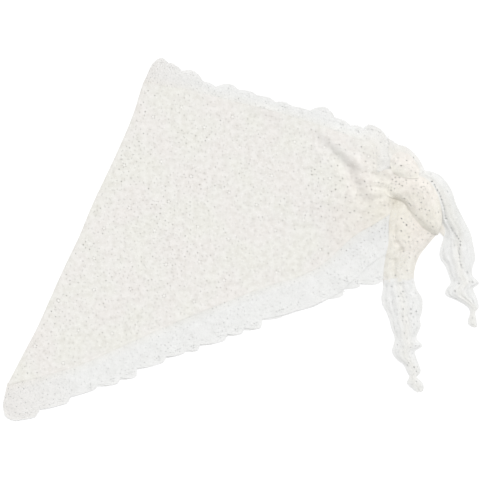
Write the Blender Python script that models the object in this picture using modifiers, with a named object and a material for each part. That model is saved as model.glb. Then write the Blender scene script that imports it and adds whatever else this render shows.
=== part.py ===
# Hip scarf: a triangle of eyelet cloth trimmed with lace, folded in half from the middle of its
# waist edge to its point, laid flat, its two narrow ends tied in one overhand knot with two tails.
# The tables are in millimetres, seen from above: +X to the right, +Y up the page, +Z off the table.
# Run with: blender --background --python part.py

from collections import namedtuple
from math import cos, exp, pi, sin, sqrt

import bmesh
import bpy
from mathutils import Vector
from mathutils.bvhtree import BVHTree

MM = 0.001
CLOTH = 1.2             # wall of the eyelet cloth
LACE = 1.0              # wall of the lace
SEAM = 0.5              # gap left at a seam, 0.3 where the walls slope
REST = 0.35             # gap left where one layer lies on another
LIE_CLEAR = 0.15        # added to it where a strip bends over other pieces
FEEL = 6.5              # how far round a point the pieces under it are felt for
FEEL_RAYS = 33          # how many places within that reach are felt
FEEL_FROM = 1.0         # metres above the table that they are felt from
DRAPE_SLOPE = 0.75      # steepest that a strip hangs down from what it is laid over

# ---- the folded body: one row for each section from the fold (left) to the knot (right) ----------
# waist and side are the two seams where the lace starts, waist_lace and side_lace its width there,
# back_drop is how far the back layer shows below the front one, and back_in how far it stops short
# at the waist.
Section = namedtuple("Section", "waist_x waist_y side_x side_y waist_lace side_lace back_drop")
BODY = [
    Section(-145, 235, -349, -218, 34, 51, 0),
    Section(-93, 227, -245, -190, 21, 44, 1),
    Section(-40, 215, -150, -148, 17, 45, 2),
    Section(13, 202, -55, -107, 15, 46, 2),
    Section(66, 188, 35, -72, 14, 46, 3),
    Section(118, 172, 112, -45, 16, 46, 8),
    Section(174, 151, 173, -2, 20, 45, 29),
    Section(236, 118, 231, 43, 22, 44, 55),
]
MITRE_REACH = 0.09      # share of the length over which a lace turns from its end to its seam

# Each lace, with its steps from the seam to its outer edge at the fold and at the knot.
Trim = namedtuple("Trim", "fold_x fold_y knot_x knot_y scallops scallop_depth rounded")
WAIST_TRIM = Trim(16, 35, 6, 21, 7, 7, 0.3)
SIDE_TRIM = Trim(-7, -55, 3, -45, 12, 11, 0.14)
ROUND_REACH = 0.035     # share of the length over which the corners at the fold are rounded off
SCALLOP_ROUND = 0.7     # below 1 the scallops are fuller than a sine wave
SCALLOP_MEAN = 0.6      # share of their depth that lies inside the lace's mean width
FRONT_PHASE = 0.5       # the front's scallops lie half a scallop off the back's
BACK_IN = 1.2           # the back stops this far inside the fold's roll
FOLD_BOW = 5            # the fold line bows in this far at its middle
BOW_REACH = 0.1         # share of the body's length over which that bow dies out
FOLD_ROLL = 4           # how far in from the fold line the cloth has rolled over to the front
FOLD_SWELL = 1.6        # height that the soft fold stands above the flat layers
SWELL_REACH = 22        # how far in from the fold line that height dies out

# The body's grid: columns from the fold to the knot, rows from seam to seam or seam to edge.
COLUMNS_PER_SCALLOP = 4     # of the side lace
FOLD_COLUMNS = (0.0, 0.0015, 0.0045, 0.009)     # shares of the length, over the fold's roll
FRONT_ROWS = 14
BACK_ROWS = 3
SIDE_LACE_ROWS = 2
WAIST_LACE_ROWS = 1
ALONG_STEP = 0.004      # share of the length over which a seam's direction is taken
PAST_SEAM = 0.0001      # where a lace's first row lies, in its widths past the seam

# ---- the large folds of the front, from the knot outwards ----------------------------------------
Fold = namedtuple("Fold", "x0 y0 x1 y1 half_width height")
FOLDS = [
    Fold(225, 108, 130, 168, 17, 7.0),          # ridge under the waist edge
    Fold(212, 66, 110, 156, 14, -6.5),          # deep valley beside it
    Fold(215, 62, 60, 62, 36, 5.5),             # broad swelling below the valley
    Fold(222, 48, 130, 0, 14, 3.0),             # ridge down to the side seam
    Fold(-142, 74, -75, -23, 18, 1.2),          # faint diagonal bands near the fold
    Fold(-30, 190, -70, 60, 16, 1.0),
    Fold(22, 197, 78, 188, 9, 2.0),             # puckered waist edge
]
KNOT_X, KNOT_Y = 260, 78
RISE = 11               # height of the front above its flat level where it enters the knot
RISE_FROM, RISE_TO = 190, 40    # distances from the knot between which it rises

# ---- strips: one row for each rung across, from edge a to edge b ---------------------------------
# z is the height of the cloth's underside at that edge, crown the extra height at the middle.
Rung = namedtuple("Rung", "ax ay az bx by bz crown")
BAND = [
    Rung(203, 66, 15, 212, 92, 15, 1),
    Rung(222, 61, 18, 231, 93, 17, 3),
    Rung(240, 61, 19, 253, 93, 16, 8),
    Rung(252, 49, 15, 275, 91, 12, 12),
    Rung(264, 31, 11, 293, 76, 8, 14),
    Rung(277, 16, 8, 303, 50, 6, 11),
    Rung(289, 8, 6, 307, 26, 5, 6),
    Rung(297, 7, 4, 304, 14, 4, 1),
]
ROLL = [
    Rung(226, 103, 13, 229, 127, 6, 5),
    Rung(236, 101, 14, 243, 130, 3, 9),
    Rung(250, 96, 14, 258, 124, 2, 10),
    Rung(266, 93, 12, 270, 108, 3, 6),
    Rung(277, 92, 8, 281, 97, 3, 3),
]
ROLL_LACE_WIDTHS = (15, 13, 8, 6, 6)
TAIL_INNER = [
    Rung(238, 62, 9, 298, 34, 3, 3),
    Rung(231, 26, 5, 297, 9, 2, 5),
    Rung(229, -1, 4, 285, -4, 1, 6),
    Rung(229, -25, 3, 268, -25, 0, 6),
    Rung(227, -46, 2, 260, -46, 0, 5),
    Rung(224, -65, 1, 260, -65, 0, 4),
]
TAIL_INNER_LACE = [
    Rung(218, -65.5, 1, 263, -65.5, 0, 4),
    Rung(213, -80, 0, 269, -80, 0, 5),
    Rung(213, -95, 0, 273, -95, 0, 5),
    Rung(220, -113, 0, 270, -113, 0, 4),
    Rung(227, -131, 0, 271, -131, 0, 4),
    Rung(234, -148, 0, 263, -148, 0, 3),
    Rung(229, -158, 0, 274, -158, 0, 4),
    Rung(228, -168, 0, 261, -168, 0, 4),
    Rung(241, -182, 0, 269, -182, 0, 3),
    Rung(255, -202, 0, 266, -202, 0, 2),
    Rung(250, -212, 0, 268, -214, 0, 3),
    Rung(258, -222, 0, 280, -221, 0, 2),
    Rung(267, -229, 0, 276, -229, 0, 1),
]
TAIL_OUTER = [
    Rung(263, 76, 5, 280, 92, 4, 2),
    Rung(284, 64, 4, 295, 76, 3, 2),
    Rung(296, 44, 2, 306, 50, 2, 2),
    Rung(300, 23, 1, 315, 26, 1, 3),
    Rung(301, 4, 0, 323, 4, 0, 3),
    Rung(302, -7, 0, 313, -6, 0, 2),
]
TAIL_OUTER_LACE_WIDTHS = (13, 17, 19, 21, 23)     # beside its first five rungs
TAIL_OUTER_END = [
    Rung(324, -6, 0, 351, -7, 0, 2),
    Rung(299, -19, 0, 352, -21, 0, 4),
    Rung(305, -38, 0, 353, -36, 0, 4),
    Rung(318, -61, 0, 350, -60, 0, 3),
    Rung(308, -71, 0, 357, -68, 0, 4),
    Rung(309, -83, 0, 348, -80, 0, 3),
    Rung(334, -97, 0, 356, -93, 0, 3),
    Rung(344, -105, 0, 352, -104, 0, 2),
    Rung(340, -121, 0, 356, -120, 0, 2),
    Rung(342, -131, 0, 354, -131, 0, 1),
]
BESIDE_CROWN = 1.5      # how far a lace sewn along a strip arches
BESIDE_GAP = 2.1        # from a strip's underside to that lace: its own steep wall and the seam
RUNG_CELLS = 2          # cells from one rung to the next
STRIP_CELLS = 10        # cells across a broad strip of cloth
LACE_CELLS = 6          # cells across a narrow one or a lace
EDGING_CELLS = 3        # cells across the narrow waist lace at the knot
TAIL_PLEATS = 2
PLEAT_HEIGHT = 1.6

# ---- the turns inside the knot: one rounded solid ------------------------------------------------
CORE_HALF_X, CORE_HALF_Y, CORE_HEIGHT = 23, 24, 14
CORE_AROUND, CORE_UP = 18, 10       # its facets round and up

COLOURS = {
    "cloth": ((0.86, 0.84, 0.79, 1), 0.85),
    "lace": ((0.88, 0.88, 0.86, 1), 0.8),
}


def clear_scene():
    for old in list(bpy.data.objects):
        bpy.data.objects.remove(old, do_unlink=True)


def collection():
    home = bpy.data.collections.new("hip_scarf")
    bpy.context.scene.collection.children.link(home)
    return home


def material(name, look):
    colour, roughness = COLOURS[look]
    finish = bpy.data.materials.new(name)
    finish.use_nodes = True
    shader = finish.node_tree.nodes["Principled BSDF"]
    shader.inputs["Base Color"].default_value = colour
    shader.inputs["Roughness"].default_value = roughness
    shader.inputs["Metallic"].default_value = 0
    return finish


def clamp(value, low=0.0, high=1.0):
    return max(low, min(high, value))


def ease(value):
    value = clamp(value)
    return value * value * (3 - 2 * value)


def between(rows, t):
    # a smooth curve through the rows of a table, t from 0 at the first row to 1 at the last
    span = clamp(t) * (len(rows) - 1)
    i = min(int(span), len(rows) - 2)
    f = span - i
    four = rows[max(i - 1, 0)], rows[i], rows[i + 1], rows[min(i + 2, len(rows) - 1)]
    values = []
    for p, q, r, s in zip(*four):
        curve = (2 * p - 5 * q + 4 * r - s) * f ** 2 + (3 * q - p - 3 * r + s) * f ** 3
        values.append(q + 0.5 * ((r - p) * f + curve))
    return type(rows[0])(*values)


# ---- the folded body ------------------------------------------------------------------------------
def seam_point(edge, u, drop):
    row = between(BODY, u)
    if edge == "waist":
        return Vector((row.waist_x, row.waist_y))
    return Vector((row.side_x, row.side_y - drop * row.back_drop))


def lace_reach(edge, u, drop, phase):
    # from the seam to the lace's outer edge: square to the seam, but turned at the fold and the knot
    row = between(BODY, u)
    along = seam_point(edge, u + ALONG_STEP, drop) - seam_point(edge, u - ALONG_STEP, drop)
    square = Vector((-along.y, along.x)).normalized()
    width, trim = row.waist_lace, WAIST_TRIM
    if edge == "side":
        square.negate()
        width, trim = row.side_lace, SIDE_TRIM
    at_fold, at_knot = Vector((trim.fold_x, trim.fold_y)), Vector((trim.knot_x, trim.knot_y))
    reach = at_fold.lerp(square * width, ease(u / MITRE_REACH))
    reach = reach.lerp(at_knot, ease(1 - (1 - u) / MITRE_REACH))
    wave = abs(sin(pi * (trim.scallops * u + phase))) ** SCALLOP_ROUND
    scallop = trim.scallop_depth * (wave - SCALLOP_MEAN)
    corner = 1 - trim.rounded * (1 - ease(u / ROUND_REACH))
    return (reach + reach.normalized() * scallop) * corner


def plan(u, v, drop=0.0, phase=FRONT_PHASE):
    # a point of the body seen from above: u is 0 at the fold and 1 at the knot, v is 0 at the
    # waist seam, 1 at the side seam, and one more at the outer edge of each lace (-1 and 2)
    if v < 0:
        reach = lace_reach("waist", u, drop, phase)
        return seam_point("waist", u, drop) + reach.normalized() * SEAM + reach * -v
    if v > 1:
        reach = lace_reach("side", u, drop, phase)
        return seam_point("side", u, drop) + reach.normalized() * SEAM + reach * (v - 1)
    point = seam_point("waist", u, drop).lerp(seam_point("side", u, drop), v)
    bow = FOLD_BOW * 4 * v * (1 - v) * (1 - ease(u / BOW_REACH))
    return point + Vector((bow, 0))


def fold_heights(x, y):
    total = 0.0
    for fold in FOLDS:
        start, end = Vector((fold.x0, fold.y0)), Vector((fold.x1, fold.y1))
        run = end - start
        share = clamp((Vector((x, y)) - start).dot(run) / run.length_squared)
        aside = (Vector((x, y)) - start.lerp(end, share)).length / fold.half_width
        total += fold.height * (1 - 0.5 * share) * exp(-aside * aside)
    return total


def front_height(v, point):
    # height of the front layer's underside: flat on the back layer, rolled over at the fold,
    # lifted where it enters the knot, with the large folds on top
    inward = (point - plan(0, v)).length
    away = (point - Vector((KNOT_X, KNOT_Y))).length
    rise = RISE * (1 - ease((away - RISE_TO) / (RISE_FROM - RISE_TO))) ** 1.5
    swell = FOLD_SWELL * exp(-(inward / SWELL_REACH) ** 2)
    height = CLOTH + REST + max(0, rise + swell + fold_heights(point.x, point.y))
    rolled = clamp(inward / FOLD_ROLL)
    return height * sqrt(1 - (1 - rolled) ** 2)


def front(v_top, v_bottom):
    def place(u, up):
        v = v_bottom + (v_top - v_bottom) * up
        point = plan(u, v)
        return Vector((point.x, point.y, front_height(v, point)))
    return place


def back(v_top, v_bottom):
    def place(u, up):
        v = v_bottom + (v_top - v_bottom) * up
        point = plan(u, v, drop=1, phase=0)
        inward = BACK_IN * (1 - ease(u / BOW_REACH))
        return Vector((point.x + inward, point.y, 0))
    return place


# ---- strips ---------------------------------------------------------------------------------------
def strip(rungs, pleats):
    def place(along, across):
        rung = between(rungs, along)
        a = Vector((rung.ax, rung.ay, max(rung.az, 0)))
        b = Vector((rung.bx, rung.by, max(rung.bz, 0)))
        point = a.lerp(b, across)
        arch = 1 - (2 * across - 1) ** 2
        point.z += max(rung.crown, 0) * arch
        if pleats:
            point.z += PLEAT_HEIGHT * arch * (1 - cos(2 * pi * pleats * across))
        return point
    return place


def beside(rungs, widths):
    # the rungs of a lace sewn to edge b of a strip, its own outer edge on the table
    found = []
    for rung, width in zip(rungs, widths):
        a, b = Vector((rung.ax, rung.ay)), Vector((rung.bx, rung.by))
        out = (b - a).normalized()
        near, far = b + out * BESIDE_GAP, b + out * (BESIDE_GAP + width)
        found.append(Rung(near.x, near.y, rung.bz, far.x, far.y, 0, BESIDE_CROWN))
    return found


# ---- cloth ----------------------------------------------------------------------------------------
def even(cells):
    return [i / cells for i in range(cells + 1)]


def tops_of(pieces):
    depsgraph = bpy.context.evaluated_depsgraph_get()
    return [BVHTree.FromObject(piece, depsgraph) for piece in pieces]


def highest(trees, point):
    # the top of whatever lies under a point, looked for a little way round it too
    top = -1.0
    for ray in range(FEEL_RAYS):
        reach = FEEL * (ray % 3) / 2
        dx, dy = reach * cos(ray * pi / 8), reach * sin(ray * pi / 8)
        start = Vector(((point.x + dx) * MM, (point.y + dy) * MM, FEEL_FROM))
        for tree in trees:
            hit = tree.ray_cast(start, Vector((0, 0, -1)))[0]
            if hit:
                top = max(top, hit.z / MM)
    return top


def drape(points, pieces):
    # lifts the points clear of the pieces under them, and eases the lift off round about
    trees = tops_of(pieces)
    held = [(point.copy(), highest(trees, point) + REST + LIE_CLEAR) for point in points]
    held = [(point, height) for point, height in held if height > 0]
    for point in points:
        for under, height in held:
            away = (point.xy - under.xy).length
            point.z = max(point.z, height - DRAPE_SLOPE * away)


def cloth(home, name, place, columns, rows, look, over=()):
    # a grid laid by its place function, draped on the pieces that it lies over, made a wall
    net = bmesh.new()
    bmesh.ops.create_grid(net, x_segments=len(columns) - 1, y_segments=len(rows) - 1, size=1)
    points = []
    for corner in net.verts:
        column = columns[round((corner.co.x + 1) / 2 * (len(columns) - 1))]
        row = rows[round((corner.co.y + 1) / 2 * (len(rows) - 1))]
        points.append(place(column, row))
    drape(points, over)
    for corner, point in zip(net.verts, points):
        corner.co = point * MM
    mesh = bpy.data.meshes.new(name)
    net.to_mesh(mesh)
    net.free()
    mesh.shade_smooth()
    piece = bpy.data.objects.new(name, mesh)
    piece.data.materials.append(material(name, look))
    home.objects.link(piece)
    shell = piece.modifiers.new("wall", "SOLIDIFY")
    shell.thickness = (CLOTH if look == "cloth" else LACE) * MM
    shell.offset = 1
    bpy.context.view_layer.update()
    return piece


def ribbon(home, name, rungs, cells, look, over=(), pleats=0):
    columns = even(RUNG_CELLS * (len(rungs) - 1))
    return cloth(home, name, strip(rungs, pleats), columns, even(cells), look, over)


def knot_core(home):
    # the hidden turns, an egg cut flat where it rests
    egg = bmesh.new()
    bmesh.ops.create_uvsphere(egg, u_segments=CORE_AROUND, v_segments=CORE_UP, radius=MM)
    bmesh.ops.scale(egg, vec=(CORE_HALF_X, CORE_HALF_Y, CORE_HEIGHT), verts=egg.verts)
    whole = egg.verts[:] + egg.edges[:] + egg.faces[:]
    bmesh.ops.bisect_plane(egg, geom=whole, plane_co=(0, 0, 0), plane_no=(0, 0, -1), clear_outer=True)
    bmesh.ops.holes_fill(egg, edges=[edge for edge in egg.edges if edge.is_boundary])
    bmesh.ops.translate(egg, vec=(KNOT_X * MM, KNOT_Y * MM, 0), verts=egg.verts)
    bmesh.ops.recalc_face_normals(egg, faces=egg.faces)
    mesh = bpy.data.meshes.new("knot_core")
    egg.to_mesh(mesh)
    egg.free()
    mesh.shade_smooth()
    core = bpy.data.objects.new("knot_core", mesh)
    core.data.materials.append(material("knot_core", "cloth"))
    home.objects.link(core)
    bpy.context.view_layer.update()
    return core


def centre(home):
    # moves the whole scarf so that the origin is under the middle of its box
    corners = [corner for piece in home.objects for corner in piece.bound_box]
    low = [min(corner[axis] for corner in corners) for axis in range(2)]
    high = [max(corner[axis] for corner in corners) for axis in range(2)]
    for piece in home.objects:
        piece.location = (-(low[0] + high[0]) / 2, -(low[1] + high[1]) / 2, 0)


def build():
    clear_scene()
    home = collection()
    columns = list(FOLD_COLUMNS) + even(SIDE_TRIM.scallops * COLUMNS_PER_SCALLOP)[1:]
    side_rows, waist_rows = even(SIDE_LACE_ROWS), even(WAIST_LACE_ROWS)
    side_from, waist_to = 1 + PAST_SEAM, -PAST_SEAM

    panel_back = cloth(home, "panel_back", back(0, 1), columns, even(BACK_ROWS), "cloth")
    side_back = cloth(home, "side_lace_back", back(side_from, 2), columns, side_rows, "lace")
    waist_back = cloth(home, "waist_lace_back", back(-1, waist_to), columns, waist_rows, "lace")

    panel = cloth(home, "panel_front", front(0, 1), columns, even(FRONT_ROWS), "cloth")
    side = cloth(home, "side_lace_front", front(side_from, 2), columns, side_rows, "lace")
    waist = cloth(home, "waist_lace_front", front(-1, waist_to), columns, waist_rows, "lace")

    core = knot_core(home)
    laid = [side_back, side, panel_back, panel, core]
    inner = ribbon(home, "tail_inner", TAIL_INNER, STRIP_CELLS, "cloth", laid, TAIL_PLEATS)
    ribbon(home, "tail_inner_lace", TAIL_INNER_LACE, LACE_CELLS, "lace", laid, TAIL_PLEATS)
    outer = ribbon(home, "tail_outer", TAIL_OUTER, LACE_CELLS, "cloth", [core])
    frill = beside(TAIL_OUTER, TAIL_OUTER_LACE_WIDTHS) + TAIL_OUTER_END
    outer_lace = ribbon(home, "tail_outer_lace", frill, LACE_CELLS, "lace", [core])
    laid = [panel, waist, core, outer, outer_lace]
    roll = ribbon(home, "knot_roll", ROLL, STRIP_CELLS, "cloth", laid)
    edging = beside(ROLL, ROLL_LACE_WIDTHS)
    ribbon(home, "knot_lace", edging, EDGING_CELLS, "lace", [waist, waist_back])
    ribbon(home, "knot_band", BAND, STRIP_CELLS, "cloth", laid + [roll, inner])

    centre(home)


build()
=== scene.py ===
import bpy
import numpy as np
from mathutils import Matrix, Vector, noise
from mathutils.bvhtree import BVHTree
from mathutils.geometry import delaunay_2d_cdt
from mathutils.kdtree import KDTree


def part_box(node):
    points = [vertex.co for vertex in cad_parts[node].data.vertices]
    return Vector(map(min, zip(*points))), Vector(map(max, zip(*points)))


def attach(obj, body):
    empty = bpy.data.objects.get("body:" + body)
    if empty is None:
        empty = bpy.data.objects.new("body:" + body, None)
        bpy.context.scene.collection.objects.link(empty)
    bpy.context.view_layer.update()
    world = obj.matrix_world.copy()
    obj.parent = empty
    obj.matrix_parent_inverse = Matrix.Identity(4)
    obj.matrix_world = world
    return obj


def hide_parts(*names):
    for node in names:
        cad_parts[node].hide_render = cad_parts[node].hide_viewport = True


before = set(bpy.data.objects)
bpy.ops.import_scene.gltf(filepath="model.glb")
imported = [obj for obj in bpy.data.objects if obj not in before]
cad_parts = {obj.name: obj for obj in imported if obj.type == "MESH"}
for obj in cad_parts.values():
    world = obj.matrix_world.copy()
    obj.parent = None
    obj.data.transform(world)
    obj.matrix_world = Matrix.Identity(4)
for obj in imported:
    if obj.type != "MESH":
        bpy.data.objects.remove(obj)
scene = bpy.context.scene
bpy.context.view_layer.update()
mm = 0.001

# Lengths are in millimetres as the scarf lies on the table: x to the right, y up towards the waist
# edge, z off the table. The lower end of the fold sets it in the frame.
foldEnd = (-347.8, -218.0, 0.0)
shift = np.array(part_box("panel_back")[0]) / mm - foldEnd


def clamp(value, low=0.0, high=1.0):
    return np.minimum(np.maximum(value, low), high)


def ease(value):
    value = clamp(value)
    return value * value * (3 - 2 * value)


def columns(*parts):
    return np.stack(parts, 1)


def chained(*parts):
    return np.concatenate(parts)


def unit(rows):
    return rows / np.linalg.norm(rows, axis=1)[:, None]


def rotated(x, y, angle):
    c, s = np.cos(angle), np.sin(angle)
    return x * c - y * s, x * s + y * c


def between(rows, t):
    # a smooth curve through a table's rows, t from 0 at the first to 1 at the last
    rows = np.array(rows, float)
    span = clamp(np.asarray(t, float)) * (len(rows) - 1)
    i = np.minimum(span.astype(int), len(rows) - 2)
    f = (span - i)[..., None]
    p, q, r, s = (rows[np.clip(i + k, 0, len(rows) - 1)] for k in (-1, 0, 1, 2))
    return q + 0.5 * ((r - p) * f + (2 * p - 5 * q + 4 * r - s) * f**2 + (3 * q - p - 3 * r + s) * f**3)


def ripple(x, y, size, seed):
    # gentle unevenness between -1 and 1, with hollows about as wide as size
    spots = zip(np.ravel(x) / size, np.ravel(y) / size)
    return np.array([noise.noise(Vector((a, b, seed))) for a, b in spots]).reshape(np.shape(x))


def foldHeights(folds, x, y):
    # each fold runs from (x0, y0) to (x1, y1), highest where it starts
    total = np.zeros(np.shape(x))
    for x0, y0, x1, y1, half, height in folds:
        runX, runY = x1 - x0, y1 - y0
        share = clamp(((x - x0) * runX + (y - y0) * runY) / (runX**2 + runY**2))
        aside = np.hypot(x - x0 - runX * share, y - y0 - runY * share) / half
        total += height * (1 - 0.5 * share) * np.exp(-aside**2)
    return total


def lengths(line):
    # how far along a line its points are
    return chained([0], np.cumsum(np.hypot(*np.diff(line, axis=0).T)))


def pointsAt(places, far, line):
    return columns(*(np.interp(places, far, line[:, k]) for k in (0, 1)))


def evenly(line, gap):
    # the same line with points about every gap
    far = lengths(line)
    return pointsAt(np.linspace(0, far[-1], int(far[-1] / gap) + 1), far, line)


def movedIn(line, inset):
    # the line moved to its left by inset
    run = unit(np.gradient(line, axis=0))
    return line + columns(-run[:, 1], run[:, 0]) * inset


def treeOf(spots):
    tree = KDTree(len(spots))
    for i, spot in enumerate(spots):
        tree.insert((spot[0], spot[1], 0), i)
    tree.balance()
    return tree


def nearestOf(spots, others):
    # how far each spot is from the nearest of the others
    if not len(others):
        return np.full(len(spots), np.inf)
    tree = treeOf(others)
    return np.array([tree.find((*spot, 0))[2] for spot in spots])


def inside(points, outline):
    (x, y), (ax, ay) = points.T[:, :, None], outline.T
    bx, by = np.roll(ax, -1), np.roll(ay, -1)
    rise = np.where(by == ay, 1e-12, by - ay)
    crosses = ((ay > y) != (by > y)) & (x < ax + (bx - ax) * (y - ay) / rise)
    return crosses.sum(1) % 2 == 1


def distanceTo(points, line, closed=True):
    a = line if closed else line[:-1]
    run = (np.roll(line, -1, axis=0) if closed else line[1:]) - a
    best = []
    for start in range(0, len(points), 4000):
        part = points[start:start + 4000, None, :] - a
        share = clamp((part * run).sum(2) / np.maximum((run**2).sum(1), 1e-12))
        best.append(np.hypot(*np.moveaxis(part - run * share[..., None], 2, 0)).min(1))
    return chained(*best)


def scatter(outline, gap, margin, rng, taken=()):
    # spots at least gap apart, all over the inside of an outline, and clear of those taken
    low, high = outline.min(0), outline.max(0)
    tries = rng.random((int(np.prod(high - low) / gap**2 * 14), 2)) * (high - low) + low
    tries = tries[inside(tries, outline)]
    tries = tries[distanceTo(tries, outline) > margin]
    cells, kept = {}, []
    for spot in [*taken, *tries]:
        i, j = int(spot[0] // gap), int(spot[1] // gap)
        near = [other for a in (-1, 0, 1) for b in (-1, 0, 1) for other in cells.get((i + a, j + b), ())]
        if all((spot[0] - o[0])**2 + (spot[1] - o[1])**2 > gap**2 for o in near):
            cells.setdefault((i, j), []).append(spot)
            kept.append(spot)
    return np.array(kept[len(taken):]).reshape(-1, 2)


def doubleAreas(flat, faces):
    # negative where a face is turned over
    (ax, ay), (bx, by), (cx, cy) = flat[faces].transpose(1, 2, 0)
    return (bx - ax) * (cy - ay) - (by - ay) * (cx - ax)


def cutCloth(outline, holes, spacing, rng, extra=np.zeros((0, 2)), sides=7):
    # triangles of flat cloth; holes are rows of x, y, radius along, radius across, angle
    low, high = outline.min(0), outline.max(0)
    across, up = np.arange(low[0], high[0], spacing), np.arange(low[1], high[1], spacing * 0.866)
    fillX, fillY = np.meshgrid(across, up)
    fillX += spacing / 2 * (np.arange(len(up)) % 2)[:, None]
    fill = columns(fillX.ravel(), fillY.ravel()) + (rng.random((fillX.size, 2)) - 0.5) * spacing * 0.3
    fill = chained(fill[nearestOf(fill, extra) > spacing * 0.45], extra)
    fill = fill[inside(fill, outline)]
    fill = fill[distanceTo(fill, outline) > spacing * 0.3]
    rings = np.zeros((0, 2))
    if len(holes):
        tree = treeOf(holes)
        found = [tree.find((*spot, 0)) for spot in fill]
        fill = fill[[away > max(holes[i][2:4]) + spacing * 0.28 for _, i, away in found]]
        turn = np.arange(sides) * 2 * np.pi / sides
        x, y = rotated(holes[:, 2, None] * np.cos(turn), holes[:, 3, None] * np.sin(turn), holes[:, 4, None])
        rings = columns((holes[:, 0, None] + x).ravel(), (holes[:, 1, None] + y).ravel())
    n = len(outline)
    edges = [(i, (i + 1) % n) for i in range(n)]
    edges += [(k + i, k + (i + 1) % sides) for k in range(n, n + len(rings), sides) for i in range(sides)]
    spots = [Vector(spot) for spot in chained(outline, rings, fill)]
    made = delaunay_2d_cdt(spots, edges, [], 0, 1e-5, False)
    flat, faces = np.array(made[0]), np.array(made[2])
    middle = flat[faces].mean(1)
    keep = inside(middle, outline)
    if len(holes):
        hole = holes[[tree.find((*spot, 0))[1] for spot in middle]]
        x, y = rotated(*(middle - hole[:, :2]).T, -hole[:, 4])
        keep &= (x / hole[:, 2])**2 + (y / hole[:, 3])**2 >= 0.93
    faces = faces[keep]
    over = doubleAreas(flat, faces) < 0
    faces[over] = faces[over][:, ::-1]
    used, faces = np.unique(faces, return_inverse=True)
    return flat[used], faces.reshape(-1, 3)


def placed(name, data):
    thing = bpy.data.objects.new(name, data)
    scene.collection.objects.link(thing)
    return thing


def newPiece(name, points, faces, material):
    mesh = bpy.data.meshes.new(name)
    mesh.from_pydata(((points + shift) * mm).tolist(), [], faces)
    mesh.materials.append(material)
    mesh.shade_smooth()
    return placed(name, mesh)


def clothWall(name, lay, flat, faces, material, thick):
    # the cloth laid and thickened, with its flat cut as a map for the weave
    piece = newPiece(name, lay(flat), faces.tolist(), material)
    corners = np.zeros(len(piece.data.loops), int)
    piece.data.loops.foreach_get("vertex_index", corners)
    layer = piece.data.uv_layers.new(name="cut")
    layer.data.foreach_set("uv", (flat[corners] * mm).astype(np.float32).ravel())
    wall = piece.modifiers.new("wall", "SOLIDIFY")
    wall.thickness, wall.offset = thick * mm, 0
    bpy.context.view_layer.update()
    solid = bpy.data.meshes.new_from_object(piece.evaluated_get(bpy.context.evaluated_depsgraph_get()))
    piece.modifiers.clear()
    piece.data = solid
    solid.set_sharp_from_angle(angle=np.radians(55))
    return piece


def surfaceFrame(lay, spots):
    # where spots of flat cloth come to lie, and the ways along, across and out of it there
    step = 0.4
    here = lay(spots)
    run = lay(spots + [step, 0]) - here
    out = unit(np.cross(run, lay(spots + [0, step]) - here))
    run = unit(run)
    return here, run, np.cross(out, run), out


def beside(lay, spots, x, y, z):
    # points round each spot: x along the cloth, y across it, z out of it
    shape = (len(x),) + (1,) * (x.ndim - 1) + (3,)
    here, run, across, out = (part.reshape(shape) for part in surfaceFrame(lay, spots))
    points = here + (x[..., None] * run + y[..., None] * across) + z[..., None] * out
    return points.reshape(-1, 3)


def repeated(faces, count, size):
    # one motif's faces, for count motifs of size points
    return (faces[None] + np.arange(count)[:, None, None] * size).reshape(-1, 4)


def tubeFaces(rings, sides, closed):
    i, j = np.meshgrid(np.arange(rings - (not closed)), np.arange(sides), indexing="ij")
    here, there, turn = i * sides, (i + 1) % rings * sides, (j + 1) % sides
    return np.stack([here + j, there + j, there + turn, here + turn], -1).reshape(-1, 4)


def rims(lay, holes, thread, around, sides):
    # the stitched ring of each eyelet
    turn = (np.arange(around)[:, None] + 0.5) * 2 * np.pi / around
    roll = np.arange(sides) * 2 * np.pi / sides
    wide, tall = (holes[:, k, None, None] + thread * (0.6 + np.cos(roll)) for k in (2, 3))
    x, y = rotated(np.cos(turn) * wide, np.sin(turn) * tall, holes[:, 4, None, None])
    points = beside(lay, holes[:, :2], x, y, thread * np.sin(roll) + 0 * x)
    return points, repeated(tubeFaces(around, sides, True), len(holes), around * sides)


def cord(path, out, radius, sides=5, flatten=0.8):
    # a cord along a path in space, out being the way off the cloth
    run = unit(np.gradient(path, axis=0))
    side = unit(np.cross(out, run))
    roll = np.arange(sides)[:, None] * 2 * np.pi / sides
    ring = np.cos(roll) * side[:, None] + flatten * np.sin(roll) * np.cross(run, side)[:, None]
    points = path[:, None] + np.broadcast_to(radius, len(path))[:, None, None] * ring
    return points.reshape(-1, 3), tubeFaces(len(path), sides, False)[:, [0, 3, 2, 1]]


def hemStitches(lay, line, rise):
    pitch, length, radius = 2.9, 2.1, 0.16
    far = lengths(line)
    places = np.arange(pitch / 2, far[-1] - length, pitch)
    shares, swell = np.array([0.0, 0.2, 0.5, 0.8, 1.0]), np.array([0.35, 0.9, 1.0, 0.9, 0.35])
    here, _, _, out = surfaceFrame(lay, pointsAt((places[:, None] + length * shares).ravel(), far, line))
    arch = np.tile(rise * (1 - (2 * shares - 1)**2) * 0.5 + rise * 0.6, len(places))
    here += out * arch[:, None]
    made = [cord(here[k:k + 5], out[k:k + 5], radius * swell) for k in range(0, len(here), 5)]
    return chained(*(points for points, _ in made)), repeated(made[0][1], len(made), 25)


def dotSizes(rng, count, short=0.7, long=1.3, turn=3.0):
    return columns(rng.uniform(short, long, count), rng.uniform(0.4, 0.6, count), rng.uniform(0, turn, count))


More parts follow.
